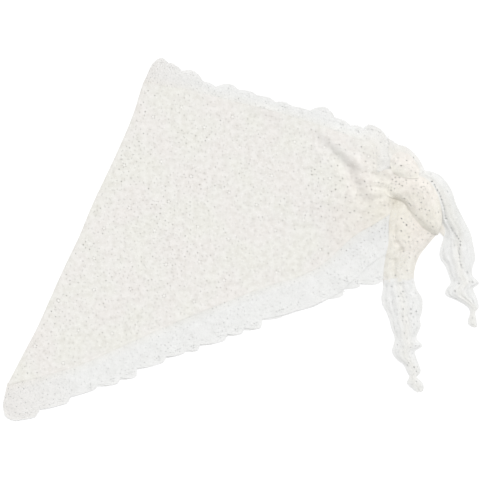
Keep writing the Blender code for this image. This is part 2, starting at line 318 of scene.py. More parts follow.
def satinDots(lay, spots, size, height):
    # small padded stitches, with rows of length, width and angle
    turn = np.arange(6) * np.pi / 3
    ring = columns(np.cos(turn), np.sin(turn), 0 * turn)
    shape = chained(ring, ring * 0.62 + [0, 0, 0.8], [[0, 0, 1]])
    x, y = rotated(shape[:, 0] * size[:, :1], shape[:, 1] * size[:, 1:2], size[:, 2:])
    faces = [(i, (i + 1) % 6, 6 + (i + 1) % 6, 6 + i) for i in range(6)]
    faces += [(6 + i, 6 + (i + 1) % 6, 12, 12) for i in range(6)]
    points = beside(lay, spots, x, y, height * shape[:, 2] + 0 * x)
    return points, repeated(np.array(faces), len(spots), 13)


def joined(name, parts, material):
    # several parts made one piece, all of it above the table
    points, faces, start = [], [], 0
    for p, f in parts:
        points.append(np.maximum(p, [-1000, -1000, 0.03]))
        faces += [tuple(dict.fromkeys((face + start).tolist())) for face in f]
        start += len(p)
    return newPiece(name, chained(*points), faces, material)


def newFinish(name, roughness, sheen=0.0):
    material = bpy.data.materials.new(name)
    material.use_nodes = True
    shader = material.node_tree.nodes["Principled BSDF"]
    shader.inputs["Roughness"].default_value = roughness
    shader.inputs["Sheen Weight"].default_value = sheen
    return material, material.node_tree, shader


def addNode(tree, kind, sockets, **settings):
    # a new node's outputs, with values set or outputs linked to its sockets
    node = tree.nodes.new("ShaderNode" + kind)
    for key, value in settings.items():
        setattr(node, key, value)
    for key, value in sockets.items():
        if isinstance(value, bpy.types.NodeSocket):
            tree.links.new(value, node.inputs[key])
        else:
            node.inputs[key].default_value = value
    return node.outputs


def ramp(tree, amount, deep, pale, start=0.0, end=1.0):
    tone = tree.nodes.new("ShaderNodeValToRGB")
    for stop, place, colour in zip(tone.color_ramp.elements, (start, end), (deep, pale)):
        stop.position, stop.color = place, colour
    tree.links.new(amount, tone.inputs["Fac"])
    return tone.outputs["Color"]


def fading(tree, value, start, end, most=1.0):
    # most where the value is start or less, nothing past end
    return addNode(tree, "MapRange", {"Value": value, "From Min": start, "From Max": end, "To Min": most,
                                      "To Max": 0})["Result"]


def tinted(tree, colour, tint, *fade):
    # the colour multiplied by a tint as far as the fade goes
    sockets = {"Factor": fading(tree, *fade), "A": colour, "B": (*tint, 1)}
    return addNode(tree, "Mix", sockets, data_type="RGBA", blend_type="MULTIPLY")["Result"]


# painted light and shade round the gathered cloth: middle, tint, and the metres from it over which it fades
# painted bounce light: warmer and a touch brighter near the knot, standing in for light passing through its
# stacked layers
knotPaintedBounce = ((244, 38, 8), (1.01, 0.983, 0.94), 0.03, 0.128)
# painted shade: darker, warmer lace beside the knot, where it slopes up towards the lamp
lacePaintedShade = ((226, 132, 6), (0.96, 0.945, 0.925), 0.024, 0.07)
# painted shade on the upper end of the outer tail, which faces the lamp
tailShade = ((316, 38, 3), (0.94, 0.94, 0.932), 0.012, 0.055)
# painted shade in the hollow where the band rises over the inner tail
hollowShade = ((231, 57, 7), (0.84, 0.83, 0.80), 0.003, 0.015)


def shadedRound(tree, colour, shade, most=1.0):
    middle, tint, start, end = shade
    ends = {0: addNode(tree, "TexCoord", {})["Object"], 1: (shift + middle) * mm}
    away = addNode(tree, "VectorMath", ends, operation="DISTANCE")["Value"]
    return tinted(tree, colour, tint, away, start, end, most)


def dress(tree, shader, colour, height, strength, depth):
    tree.links.new(colour, shader.inputs["Base Color"])
    bump = addNode(tree, "Bump", {"Height": height, "Strength": strength, "Distance": depth})
    tree.links.new(bump["Normal"], shader.inputs["Normal"])


def eyeletCotton():
    look = dict(pale=(0.724, 0.713, 0.688, 1), deep=(0.652, 0.637, 0.605, 1), rosy=(1.002, 0.988, 0.988),
                mossy=(0.992, 0.998, 0.976), threadsPerMm=2.4)
    material, tree, shader = newFinish("eyeletCotton", 0.88, 0.12)
    cut = addNode(tree, "UVMap", {}, uv_map="cut")["UV"]
    mottle = addNode(tree, "TexNoise", {"Vector": cut, "Scale": 115, "Detail": 4})["Fac"]
    tone = ramp(tree, mottle, look["deep"], look["pale"], 0.3, 0.62)
    # it drifts a little over a hand's width
    drift = addNode(tree, "TexNoise", {"Vector": cut, "Scale": 16, "Detail": 2})["Fac"]
    tone = tinted(tree, tone, look["rosy"], drift, 0.38, 0.54)
    tone = tinted(tree, tone, look["mossy"], drift, 0.62, 0.46)
    # painted bounce light near the knot, then painted shade in the hollow under the band
    tone = shadedRound(tree, shadedRound(tree, tone, knotPaintedBounce), hollowShade)
    threads = {"Vector": cut, "Scale": look["threadsPerMm"] * 314, "Distortion": 1.2, "Detail": 1}
    warp, weft = (addNode(tree, "TexWave", threads, bands_direction=way)["Fac"] for way in "XY")
    weave = addNode(tree, "Math", {0: warp, 1: weft}, operation="MAXIMUM")["Value"]
    dress(tree, shader, tone, weave, 0.35, 0.0001)
    return material


def shade(colour, share):
    return tuple(part * share for part in colour) + (1,)


def stitchThread(name, colour, knotBounceShare):
    material, tree, shader = newFinish(name, 0.7, 0.1)
    place = addNode(tree, "TexCoord", {})["Object"]
    twist = addNode(tree, "TexNoise", {"Vector": place, "Scale": 1500})["Fac"]
    tone = ramp(tree, twist, shade(colour, 0.93), shade(colour, 1))
    # painted bounce light from the knot, at the given share
    if knotBounceShare:
        tone = shadedRound(tree, tone, knotPaintedBounce, knotBounceShare)
    dress(tree, shader, tone, twist, 0.3, 0.0001)
    return material


def laceNet(name, depth, foldReach):
    look = dict(thread=(0.745, 0.747, 0.738), shade=(0.70, 0.702, 0.689), cellsPerMm=0.75, open=0.36,
                seam=(1.0, 0.99, 0.965), seamReach=0.012, fold=(0.965, 0.94, 0.925))
    material, tree, shader = newFinish(name, 0.8, 0.1)
    cut = addNode(tree, "UVMap", {}, uv_map="cut")["UV"]
    mesh = {"Vector": cut, "Scale": look["cellsPerMm"] * 1000, "Randomness": 0.45}
    cells = addNode(tree, "TexVoronoi", mesh, feature="DISTANCE_TO_EDGE", voronoi_dimensions="2D")
    net = fading(tree, cells["Distance"], look["open"], look["open"] + 0.06)
    tree.links.new(net, shader.inputs["Alpha"])
    mottle = addNode(tree, "TexNoise", {"Vector": cut, "Scale": 90, "Detail": 3})["Fac"]
    # depth below 1 darkens the whole net as painted shade
    tone = ramp(tree, mottle, shade(look["shade"], depth), shade(look["thread"], depth), 0.3, 0.65)
    # creamier beside the seam, deeper at the end that is folded over
    parts = addNode(tree, "SeparateXYZ", {"Vector": cut})
    out = addNode(tree, "Math", {0: parts["Y"]}, operation="ABSOLUTE")["Value"]
    tone = tinted(tree, tone, look["seam"], out, 0, look["seamReach"])
    if foldReach:
        tone = tinted(tree, tone, look["fold"], parts["X"], 0, foldReach)
    # painted shade on the lace beside the knot and on the outer tail's upper end
    tone = shadedRound(tree, shadedRound(tree, tone, lacePaintedShade), tailShade)
    dress(tree, shader, tone, net, 0.4, 0.00015)
    return material


def floorPaper():
    material, tree, shader = newFinish("floorPaper", 0.9)
    shader.inputs["Specular IOR Level"].default_value = 0.1
    grain = addNode(tree, "TexNoise", {"Scale": 40})["Fac"]
    tone = ramp(tree, grain, (0.93, 0.93, 0.93, 1), (0.95, 0.95, 0.95, 1))
    tree.links.new(tone, shader.inputs["Base Color"])
    return material


cotton, cottonThread = eyeletCotton(), stitchThread("cottonThread", (0.86, 0.85, 0.82), 0.6)
# the tails' lace is a copy with painted shade: a little darker all over, and without the fold's tint
laceCloth, tailLaceShaded = laceNet("laceNet", 1.0, 0.11), laceNet("tailLaceNet", 0.995, 0)
laceThread = stitchThread("laceThread", (0.81, 0.81, 0.80), 0)
print("finishes made")


# sections from the fold to the knot: x and y of the waist seam and of the side seam, widths of their
# laces, how far the back layer shows below the front
body = dict(
    sections=[
        (-145, 235, -349, -218, 34, 51, 0), (-93, 227, -245, -190, 21, 44, 1),
        (-40, 215, -150, -148, 17, 45, 2), (13, 202, -55, -107, 15, 46, 2), (66, 188, 35, -72, 14, 46, 3),
        (118, 172, 112, -45, 16, 46, 8), (174, 151, 168, 3, 20, 45, 36), (200, 141, 202, 24, 24, 45, 46),
        (204, 100, 231, 43, 48, 44, 55),
    ],
    bow=[0.5, 6.0, 7.4, 6.8, 5.9, 7.3, 6.1, 6.0, 6.1, 3.2, 0.5],  # how far the fold line bows in
    backZ=0.4, frontZ=1.15,  # middle of the back cloth and of the front's
    thick=0.35,
    roll=4.5,  # how far in from the fold line the cloth rolls over
    swell=1.6, swellReach=22,  # height of the soft fold over that, and its reach
    knot=(260, 78),
    rise=8.5, riseFrom=215, riseTo=40,  # lift at the knot, and from how far off
    crossing=(214, 70, 0.405), sinkOver=17, sinkTo=4.4,  # where the front goes under the knot
)
# folds and small creases: x and y where each starts and ends, half its width, its height
bodyFolds = [
    (228, 112, 134, 166, 18, 2.6), (196, 70, 176, 114, 10, 3.6), (176, 114, 126, 158, 9, 3.4),
    (160, 109, 180, 64, 8, -5.4), (152, 118, 112, 152, 7, -4.6), (231, 56, 226, 40, 8, -3.6),
    (212, 66, 90, 60, 34, 2.6), (222, 48, 130, 0, 14, 0.9), (-142, 74, -75, -23, 18, 1.2),
    (-30, 190, -70, 60, 16, 1), (22, 197, 78, 188, 9, 2),
    (233, 64, 236, 84, 6, -2), (222, 98, 150, 122, 5, 1.3), (224, 90, 168, 106, 4, -1.2),
    (222, 82, 145, 97, 5, 1.1), (220, 76, 172, 82, 3.5, -1.1), (218, 70, 150, 68, 4, 1.2),
    (216, 62, 160, 55, 3.5, -1), (218, 56, 172, 44, 4, 1), (214, 49, 150, 31, 4, -0.9),
    (208, 41, 172, 27, 3, 0.8), (-96, 222, -100, 196, 4, 0.7), (-58, 215, -64, 180, 5, -0.6),
    (-20, 206, -22, 178, 4, 0.8), (30, 194, 22, 162, 5, -0.7), (62, 185, 60, 160, 4, 0.8),
    (96, 176, 88, 148, 4, -0.7), (-250, -180, -246, -150, 5, 0.8), (-206, -165, -196, -128, 5, -0.8),
    (-164, -146, -160, -118, 5, 1.4), (-128, -132, -116, -100, 5, -0.7), (-60, -104, -54, -70, 6, 0.9),
    (-10, -86, 0, -48, 5, -0.8), (60, -60, 62, -30, 5, 0.8), (118, -36, 108, -8, 5, 0.8),
    (-95, -120, 5, -80, 7, 1.6), (148, 57, 112, 58, 3, 0.9),
]
foldTop, foldFoot = np.array(body["sections"][0][:4], float).reshape(2, 2)
foldLength = np.hypot(*(foldFoot - foldTop))
foldRun = (foldFoot - foldTop) / foldLength
foldIn = np.array([-foldRun[1], foldRun[0]])


def seamAt(edge, u, back=False):
    row = between(body["sections"], u)
    return row[:, :2] if edge == "waist" else columns(row[:, 2], row[:, 3] - row[:, 6] * back)


def foldBow(share):
    return between([[bow] for bow in body["bow"]], share)[..., 0]


def foldLine(steps):
    v = np.linspace(1, 0, steps)[:, None]
    return foldTop + (foldFoot - foldTop) * v + foldBow(v) * foldIn


def fromFold(x, y):
    # how far a point lies in from the fold line
    away = columns(x, y) - foldTop
    return away @ foldIn - foldBow(clamp(away @ foldRun / foldLength))


def frontHeight(x, y):
    inward = fromFold(x, y)
    away = np.hypot(x - body["knot"][0], y - body["knot"][1])
    rise = body["rise"] * (1 - ease((away - body["riseTo"]) / (body["riseFrom"] - body["riseTo"])))**1.5
    lift = rise + body["swell"] * np.exp(-(inward / body["swellReach"])**2)
    lift += foldHeights(bodyFolds, x, y)
    lift += 0.5 * ripple(x, y, 46, 3.1) + 0.25 * ripple(x, y, 17, 8.4)
    height = body["frontZ"] - body["backZ"] + np.logaddexp(0, lift * 2.5) / 2.5
    return body["backZ"] + height * rounded(inward)


def rounded(inward):
    # the quarter round of the cloth at the fold
    return np.sqrt(1 - (1 - clamp(inward / body["roll"]))**2)


def panelHeight(x, y):
    z, low, (crossX, crossY, slant) = frontHeight(x, y), body["sinkTo"], body["crossing"]
    past = x - crossX - clamp(y - crossY, 0, 99) * slant - clamp(crossY - y, 0, 12)
    return z * (1 - ease(past / body["sinkOver"]) * (1 - low / np.maximum(z, low)))


def ringOf(x, y, count, start, reach, radius):
    turns = start + np.arange(count) * 2 * np.pi / count
    return [(x + reach * np.cos(turn), y + reach * np.sin(turn), size, size * 0.85, turn)
            for turn, size in zip(turns, radius)]


def eyeletsFor(outline, gap, margin, rng, sprigGap=0, taken=()):
    # scattered singly, in twos and threes, and in sprigs of five or six
    middles = scatter(outline, sprigGap, margin + 4, rng) if sprigGap else np.zeros((0, 2))
    middles = middles[nearestOf(middles, taken) > 7]
    spots = scatter(outline, gap, margin + 0.8, rng)
    spots = spots[rng.random(len(spots)) < 0.76]
    spots = spots[(nearestOf(spots, middles) > 7.2) & (nearestOf(spots, taken) > 4.6)]
    found = list(taken)
    for x, y in middles:
        found += ringOf(x, y, rng.integers(5, 7), rng.uniform(0, 6.28), rng.uniform(2.6, 3.2),
                        rng.uniform(0.4, 0.75, 6))
    for x, y in spots:
        count = 1 + (rng.random() < 0.34) + (rng.random() < 0.12)
        if count == 1:
            radius, turn = 0.42 + 0.6 * rng.random()**2.2, rng.uniform(0, 3.14)
            found.append((x, y, radius, radius * rng.uniform(0.7, 1), turn))
        else:
            found += ringOf(x, y, count, rng.uniform(0, 6.28), 0.85 + 0.12 * count,
                            rng.uniform(0.38, 0.56, count))
    return np.array(found), middles


# how high what is laid so far stands round the knot
gridStep = 1.5
gridX, gridY = np.arange(150, 366, gridStep), np.arange(-240, 170, gridStep)
tops = np.zeros((len(gridX), len(gridY)))


def noteTops(piece):
    tree = BVHTree.FromObject(piece, bpy.context.evaluated_depsgraph_get())
    corners = np.array(piece.bound_box) / mm - shift
    low, high = corners.min(0), corners.max(0)
    for i in np.flatnonzero((gridX >= low[0]) & (gridX <= high[0])):
        for j in np.flatnonzero((gridY >= low[1]) & (gridY <= high[1])):
            start = (shift + (gridX[i], gridY[j], 500)) * mm
            hit = tree.ray_cast(start, (0, 0, -1))[0]
            if hit:
                tops[i, j] = max(tops[i, j], hit.z / mm)


def sewn(name, cloth, thread, lay, cut, outline, thick, parts):
    # lays a piece with its stitching, and works out the size and area of its cut without using them
    node = "".join("_" + letter.lower() if letter.isupper() else letter for letter in name)
    flat, faces = cut
    piece = clothWall(name, lay, flat, faces, cloth, thick)
    stitching = joined(name + "Stitching", parts, thread)
    for part in (piece, stitching):
        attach(part, "root")
    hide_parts(node)
    size = (outline.max(0) - outline.min(0)) * mm
    area = abs(doubleAreas(flat, faces).sum()) / 2 * mm**2
    float(clamp(area, 0.31 * size.prod(), size.prod()))
    noteTops(piece)
    print(name, "laid,", len(piece.data.polygons), "faces")


def panel(name, outline, lay, plan, seed, extra=np.zeros((0, 2)), hems=(), marked=()):
    rng, thick = np.random.default_rng(seed), body["thick"]
    holes, middles = eyeletsFor(outline, plan["gap"], plan["margin"], rng, plan["sprigs"], marked)
    cut = cutCloth(outline, holes, plan["mesh"], rng, extra)
    parts = [rims(lay, holes, 0.22, plan["around"], 3)]
    if plan["dots"]:
        spots = scatter(outline, plan["dots"], 2.0, rng)
        spots = chained(spots[nearestOf(spots, holes) > 2.4], middles)
        size = dotSizes(rng, len(spots), turn=3.14)
        size[len(size) - len(middles):, :2] = 1.25, 1.1
        parts.append(satinDots(lay, spots, size, thick / 2 + 0.35))
    parts += [hemStitches(lay, line, thick / 2 + 0.05) for line in hems]
    sewn(name, cotton, cottonThread, lay, cut, outline, thick, parts)


# the clearest eyelets near the knot: x, y and radius
panelEyelets = [(x, y, radius * 0.8, radius * 0.7, 0.4) for x, y, radius in [
    (199, 136, 0.8), (199.5, 129, 0.9), (200, 121.5, 0.8), (200, 114, 1.1), (199, 108, 0.9), (203, 97, 1.1),
    (186, 87, 1.2), (189, 79, 0.9), (189, 67, 1.1), (196, 74.5, 1.2), (202, 73, 0.9), (194, 50, 1.1),
    (209, 56, 1), (216, 51, 1), (171, 43, 1.2), (181, 33, 1.1), (192, 40, 1), (174, 92, 1),
    (166, 81, 0.9), (158, 63, 1.1), (146, 44, 1), (150, 88, 1.1), (137, 110, 1), (158, 134, 0.9),
    (171, 128, 1),
]]


def frontPanel():
    plan = dict(gap=5.2, margin=5.6, mesh=4.2, dots=5.2, sprigs=44, around=7)
    waist = seamAt("waist", np.linspace(0, 1, 150))
    side = seamAt("side", np.linspace(1, 0, 230))
    knotEnd = evenly(np.array([(206, 100.5), (216, 104), (229, 107), (214, 70), (222, 66), (230, 65),
                               (240, 63), (250, 60), (251, 50), (249, 41), (240, 40)]), 1.8)
    fold = foldLine(150)
    foldRows = chained(*(movedIn(fold[2:-2], -inset) for inset in (0.35, 1.1, 2.1, 3.4, 5.0)))

    def lay(spots):
        x, y = spots.T
        hem = np.minimum(distanceTo(spots, waist, False), distanceTo(spots, side, False))
        return columns(x, y, panelHeight(x, y) + 0.06 * ease((4.2 - hem) / 1.2) * clamp(fromFold(x, y) / 6))

    panel("panelFront", chained(waist, knotEnd, side, fold[1:-1]), lay, plan, 11,
          foldRows, [movedIn(waist[3:], -2.6), movedIn(side[:-3], -2.6)], panelEyelets)


def backPanel():
    plan = dict(gap=6.4, margin=3.4, mesh=4.6, dots=0, sprigs=0, around=6)
    waist = seamAt("waist", np.linspace(0, 1, 110))
    side = seamAt("side", np.linspace(1, 0, 170), True)
    outline = chained(waist, side, foldLine(110)[1:-1])
    panel("panelBack", outline, lambda spots: np.insert(spots, 2, body["backZ"], 1), plan, 23)


# for each edge the steps from seam to outer edge at the fold and at the knot, the radius of the folded
# corner, the motif's reach and setback, how soon a scallop falls, and the scallops: how far along the
# seam each crest is, how far out, and how much less in the dip after it
laces = dict(
    waist=dict(fold=(16, 35), knot=(58, 22), corner=14, motif=(6, 0), fall=13, scallops=[
        (-12, 40, 0), (18, 41, 7), (38, 35, 11), (69, 30, 12), (95, 18, 4), (129, 23, 5), (158, 20, 3),
        (187, 18, 4), (213, 17, 2), (240, 16, 0), (273, 28, 10), (303, 19, 4), (328, 19, 3),
        (348, 25, 3), (365, 30, 3), (382, 47, 2), (401, 58, 0),
    ]),
    side=dict(fold=(-7, -55), knot=(3, -45), corner=20, motif=(7, 4), fall=8, scallops=[
        (-12, 56, 2), (36, 57, 10), (78, 48, 8), (120, 41, 6), (153, 46, 6), (181, 49, 11), (229, 46, 6),
        (263, 46, 3), (284, 50, 7), (328, 52, 8), (356, 52, 7), (386, 54, 11), (431, 47, 8), (460, 41, 3),
        (491, 42, 5), (523, 43, 9), (551, 38, 4), (585, 43, 5),
    ]),
    tuck=3,  # how far it is tucked under the hem
    picot=4.5, picotDepth=0.7,  # from one small point of the edge to the next
    mitre=0.09,  # share of the seam over which it turns at its ends
    underLap=(6, 2.5),  # how much further along and shorter the lace underneath lies
    calmFrom=400,  # past here the front side lace lies nearly straight inside the back one
    bulge=(4.0, 24, 12),  # lean of the lower corner past the fold, where, and its reach
)


def laceRun(edge, back):
    # along the seam: distance from the fold, point, ways along and outwards
    trim, u = laces[edge], np.linspace(0, 1, 600)
    seam = seamAt(edge, u, back)
    slope = unit(seamAt(edge, u + 0.004, back) - seamAt(edge, u - 0.004, back))
    square = columns(-slope[:, 1], slope[:, 0]) * (1 if edge == "waist" else -1)
    reach = square * between(body["sections"], u)[:, [4 if edge == "waist" else 5]]
    turn = ease(u / laces["mitre"])[:, None]
    reach = (1 - turn) * trim["fold"] + reach * turn
    turn = ease(1 - (1 - u) / laces["mitre"])[:, None]
    return lengths(seam), seam, slope, unit(reach * (1 - turn) + turn * trim["knot"])


def laceWidth(edge, back, far):
    trim, side = laces[edge], edge == "side"
    lap, short = laces["underLap"] if back else (0, 0)
    crest, reach, dip = np.array(trim["scallops"], float).T
    places, widths = columns(crest, crest + trim["fall"]).ravel(), columns(reach, reach - dip).ravel()
    near = far + lap if side else far - lap
    i = np.clip(np.searchsorted(places, near) - 1, 0, len(places) - 2)
    share = clamp((near - places[i]) / (places[i + 1] - places[i])) * np.pi / 2
    bend = np.where(i % 2 == 1, np.sin(share)**0.8, 1 - np.cos(share))
    width = widths[i] * (1 - bend) + widths[i + 1] * bend
    if side and back:
        short = short * ease((laces["calmFrom"] + 20 - far) / 30)
    width = width - short
    if side and not back:
        calm = ease((far - laces["calmFrom"]) / 40)
        width = width * (1 - calm) + calm * (47 + 1.2 * np.abs(np.sin(far / 11)))
    width += laces["picotDepth"] * np.abs(np.sin(np.pi * far / laces["picot"]))
    corner = trim["corner"]
    return width - corner + np.sqrt(corner**2 - clamp(corner - far, 0, corner)**2)


def laceTrim(name, edge, seed, plan, rests=()):
    back, sign, trim = not rests, 1 if edge == "waist" else -1, laces[edge]
    rng = np.random.default_rng(seed)
    runFar, seam, slope, way = laceRun(edge, back)
    length = runFar[-1] + plan["past"]
    places = np.linspace(0, length, int(length / 1.1))
    outer = laceWidth(edge, back, places)
    tucked = columns(places, 0 * places - laces["tuck"])[::3]
    outline = chained(tucked, columns(places, outer)[::-1]) * [1, sign]

    def lay(spots):
        far, out = spots[:, 0], spots[:, 1] * sign
        past = clamp(far - runFar[-1], 0, 99)[:, None]
        x, y = (pointsAt(far, runFar, seam) + slope[-1] * past + pointsAt(far, runFar, way) * out[:, None]).T
        if edge == "side":
            lean, leanAt, leanReach = laces["bulge"]
            x = x - lean * np.exp(-((out - leanAt) / leanReach)**2) * np.exp(-far / 12)
        x = x + foldBow(0) * np.exp(-far / 8)
        # it lifts off the table here and there
        table = body["backZ"] + 0.9 * clamp(ripple(x, y, 19, 4.4) * 1.6) * ease(out / 16)
        if back:
            return columns(x, y, table + 0.42 * ease(-out / 1.5))
        ground = table + 0.6
        hem = (panelHeight(x, y) if edge == "side" else frontHeight(x, y)) - 0.42 - ground
        share = clamp(out / laceWidth(edge, back, far))
        z = ground + hem * (1 - plan["settle"] * ease(share * plan["fall"]))
        waves = np.sin(far / plan["wave"] * 6.28 + 2.2 * ripple(far, 0 * far, 70, seed))
        z += 0.5 * waves * ease(share * 2)
        z = ground + np.logaddexp(0, (z - ground) * 3) / 3
        return columns(x, y, body["backZ"] + (z - body["backZ"]) * rounded(far))

    # three eyelets with leaves round them in each scallop, then small ones scattered
    holes, leaves, (motif, setback) = [], [], trim["motif"]
    for crest, reach, _ in trim["scallops"]:
        far = crest - setback
        if 10 < far < length - 8:
            middle = laceWidth(edge, back, np.array([far]))[0] - motif
            holes += [(far + 2.3 * np.cos(turn), middle + 2.3 * np.sin(turn), 0.85, 0.8, 0)
                      for turn in np.radians((90, 210, 330))]
            leaves += [(far + 6.2 * np.cos(turn), middle + 6.2 * np.sin(turn), 1.7, 0.65, turn)
                       for turn in np.radians(np.arange(22.5, 360, 45)) if middle + 6.2 * np.sin(turn) > 0.5]
    holes, leaves = (np.array(rows) * [1, sign, 1, 1, sign] for rows in (holes, leaves))
    loose = scatter(outline, plan["loose"], 3.0, rng, holes[:, :2])
    loose = loose[(loose[:, 0] < plan["dense"]) | (rng.random(len(loose)) < 0.65)]
    sizes = rng.uniform(0.45, 0.8, (2, len(loose))) * plan["eyelet"]
    holes = chained(holes, columns(*loose.T, *sizes, rng.uniform(0, 3, len(loose))))
    cut = cutCloth(outline, holes, plan["mesh"], rng)
    dots = scatter(outline, 7.5, 3.0, rng)
    dots = dots[nearestOf(dots, chained(holes, leaves)) > 2.6]
    size = dotSizes(rng, len(dots), 0.6, 1.1)
    parts = [rims(lay, holes, 0.28, 6, 4), satinDots(lay, leaves[:, :2], leaves[:, 2:], 0.5),
             satinDots(lay, dots, size, 0.45)]
    for inset, radius in ((0.3, 0.42), (3.6, 0.32)):
        line = columns(places, outer - inset)[places < plan["corded"]][1:-1] * [1, sign]
        parts.append(cord(*surfaceFrame(lay, line)[::3], radius))
    sewn(name, laceCloth, laceThread, lay, cut, outline, body["thick"], parts)


backLace = dict(mesh=3.4, loose=8, dense=60, eyelet=1, past=0, corded=900)
sideLace = dict(mesh=2.8, loose=5.4, dense=95, eyelet=1.15, past=12, corded=395, wave=46, fall=1.5, settle=1)
waistLace = dict(backLace, mesh=2.8, loose=5.2, dense=90, past=10, wave=34, fall=1.1, settle=0.6)
backPanel()
laceTrim("sideLaceBack", "side", 61, backLace)
laceTrim("waistLaceBack", "waist", 67, backLace)
laceTrim("sideLaceFront", "side", 71, sideLace, ["sideLaceBack"])
laceTrim("waistLaceFront", "waist", 73, waistLace, ["waistLaceBack"])
frontPanel()
print("body laid")


def clearance(slope, feel):
    # the lowest height at which a strip lies clear of what is laid, falling off gently
    reach = int(12 / gridStep)
    found, padded = tops.copy(), np.pad(tops, reach)
    for i in range(-reach, reach + 1):
        for j in range(-reach, reach + 1):
            part = padded[reach + i:reach + i + len(gridX), reach + j:reach + j + len(gridY)]
            lower = slope * max(np.hypot(i, j) * gridStep - feel, 0)
            found = np.maximum(found, np.where(part > 0, part - lower, 0))
    return found


def heightOf(field, x, y):
    i = clamp((x - gridX[0]) / gridStep, 0, len(gridX) - 1.001)
    j = clamp((y - gridY[0]) / gridStep, 0, len(gridY) - 1.001)
    a, b = i.astype(int), j.astype(int)
    low, high = (field[a, b + k] * (1 - i + a) + field[a + 1, b + k] * (i - a) for k in (0, 1))
    return low * (1 - j + b) + high * (j - b)


def stripLay(rungs, shape, blend):
    # lays a flat strip over the rungs
    field = clearance(shape["slope"], 1.6)
    t = np.linspace(0, 1, 240)
    rows = between(rungs, t)
    far = lengths((rows[:, 0:2] + rows[:, 3:5]) / 2)
    wide = np.hypot(*(rows[:, 3:5] - rows[:, 0:2]).T) * shape["ease"]

    def lay(spots):
        run, width = spots[:, 0], np.interp(spots[:, 0], far, wide)
        across = 0.5 + spots[:, 1] / width
        # the ends wander a little
        ends = 1 - ease(run / 18) + 1 - ease((far[-1] - run) / 18)
        row = between(rungs, np.interp(run + shape["wander"] * np.sin(9 * across + 1) * ends, far, t))
        x, y = (row[:, 0:2] + (row[:, 3:5] - row[:, 0:2]) * across[:, None]).T
        side = clamp(np.abs(2 * across - 1))
        arch = (1 - side**shape["power"])**0.85
        z = row[:, 2] + (row[:, 5] - row[:, 2]) * clamp(across) + row[:, 6] * arch
        turns = shape["pleats"] * across + 0.35 * ripple(run, across * 20, 30, 5.2)
        deep = shape["pleatDepth"] * clamp(width / 50, 0.35, 1) * arch
        z += deep * (0.5 - 0.5 * np.cos(2 * np.pi * turns))
        z += foldHeights(shape["folds"], x, y) + 0.35 * ripple(x, y, 15, 1.7)
        # the edges turn down onto what lies under them
        floorZ = heightOf(field, x, y) + shape["gap"]
        down, roundness = (np.where(across < 0.5, *shape[key]) for key in ("turnDown", "round"))
        turn = clamp((1 - side) / down)
        turn = ease(turn) * (1 - roundness) + np.sqrt(1 - (1 - turn)**2) * roundness
        ends = np.minimum(99 if blend else run, far[-1] - run)
        z = floorZ + (z - floorZ) * turn * ease(ends / shape["lead"] + 0.1)
        z = np.maximum(floorZ + np.logaddexp(0, (z - floorZ) * 2.5) / 2.5 - 0.15, 0.55)
        return columns(x, y, blend(x, y, z) if blend else z)

    return lay, far, wide


def onStrip(lay, far, wide, marks):
    # the places on the flat strip that come nearest the marks
    run, across = np.meshgrid(np.linspace(3, far[-1] - 3, 150), np.linspace(-0.5, 0.5, 41), indexing="ij")
    flat = columns(run.ravel(), (across * (np.interp(run, far, wide) - 5)).ravel())
    there = lay(flat)[:, :2]
    return np.array([(*flat[np.hypot(*(there - mark[:2]).T).argmin()], *mark[2:]) for mark in marks])


def strip(name, rungs, shape, seed, marks=(), beads=(), blend=None):
    # a gathered stretch; marks and beads are its clearest eyelets, rows of x, y, radius and turn
    rng, lace = np.random.default_rng(seed), "Lace" in name
    lay, far, wide = stripLay(rungs, shape, blend)
    marks = [(*mark[:3], mark[2] * (0.72 if mark in beads else 0.75), mark[3]) for mark in [*beads, *marks]]
    marked = onStrip(lay, far, wide, marks)
    places = np.linspace(0, far[-1], int(far[-1] / shape["step"]))
    half = np.interp(places, far, wide) / 2
    if lace:
        half = half + 0.9 * np.abs(np.sin(np.pi * places / 4.2)) - 0.4
    start, end = (wide * np.linspace(-1, 1, max(int(wide * 2 / shape["step"]), 3)) for wide in half[[0, -1]])
    outline = chained(columns(places, -half)[:-1], columns(0 * end + far[-1], end)[:-1],
                      columns(places, half)[::-1][:-1], columns(np.zeros(len(start)), -start)[:-1])
    holes = eyeletsFor(outline, shape["eyelets"], 2.6, rng, taken=marked)[0]
    holes[len(marks):, 2:4] *= 1.12
    cut = cutCloth(outline, holes, shape["mesh"], rng)
    dots = scatter(outline, 5.6 if lace else 4.8, 2.2, rng)
    dots = dots[nearestOf(dots, holes) > 2.3]
    parts = [rims(lay, holes, 0.26 if lace else 0.34, 8, 4),
             satinDots(lay, dots, dotSizes(rng, len(dots)), 0.55)]
    for side in (-1, 1) if lace else ():
        parts.append(cord(*surfaceFrame(lay, columns(places, side * (half - 0.3))[1:-1])[::3], 0.4))
    cloth, thread = (tailLaceShaded, laceThread) if lace else (cotton, cottonThread)
    sewn(name, cloth, thread, lay, cut, outline, shape["thick"], parts)


# what strips share: pleats and their depth, squareness of the arch, spare width, fall off what they
# lie on, gap over it, run over which the ends rise, share of each side that turns down, roundness
plain = dict(pleats=0, pleatDepth=0, power=2.0, ease=1.08, slope=1.3, gap=-0.25, lead=6, turnDown=(0.3, 0.3),
             round=(1, 1), wander=0, folds=[], mesh=2.4, step=1.6, eyelets=4.1, thick=0.4)
plainLace = dict(plain, round=(0, 0), eyelets=5.4)


